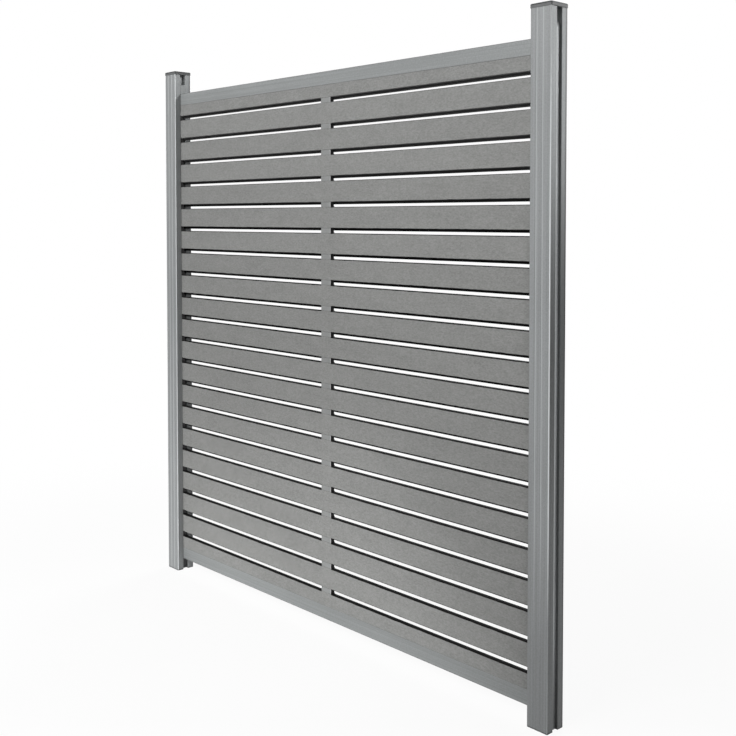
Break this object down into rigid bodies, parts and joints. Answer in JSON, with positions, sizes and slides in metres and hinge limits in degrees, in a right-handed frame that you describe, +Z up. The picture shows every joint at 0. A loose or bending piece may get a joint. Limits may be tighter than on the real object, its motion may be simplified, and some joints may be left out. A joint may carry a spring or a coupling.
{
  "type": "open-board composite privacy fence bay",
  "caption": "One bay of a privacy fence: horizontal grey composite boards with open gaps, held between two slotted aluminium posts with flat caps.",
  "frame": {"origin": "middle of the left post's foot face, on the ground", "axes": "+X along the fence to the right post, front faces -Y, +Z up"},
  "size_m": [1.886, 0.073, 1.958],
  "materials": {
    "post_aluminium": "satin grey powder coat",
    "cap": "satin dark grey coat",
    "rail_aluminium": "satin cool grey powder coat",
    "composite_board": "brushed, matte grey wood-plastic composite",
    "spacer": "smooth cool grey plastic"
  },
  "bodies": {
    "root": {"left_post": "post_aluminium", "right_post": "post_aluminium", "left_post_cap": "cap", "right_post_cap": "cap", "left_slot_cover": "rail_aluminium", "right_slot_cover": "rail_aluminium", "left_stop_block": "spacer", "right_stop_block": "spacer", "top_rail": "rail_aluminium", "bottom_rail": "rail_aluminium", "board_01": "composite_board", "board_02": "composite_board", "board_03": "composite_board", "board_04": "composite_board", "board_05": "composite_board", "board_06": "composite_board", "board_07": "composite_board", "board_08": "composite_board", "board_09": "composite_board", "board_10": "composite_board", "board_11": "composite_board", "board_12": "composite_board", "board_13": "composite_board", "board_14": "composite_board", "board_15": "composite_board", "board_16": "composite_board", "board_17": "composite_board", "board_18": "composite_board", "board_19": "composite_board", "board_20": "composite_board", "board_21": "composite_board", "centre_spacers": "spacer", "left_spacers": "spacer", "right_spacers": "spacer"}
  },
  "joints": []
}
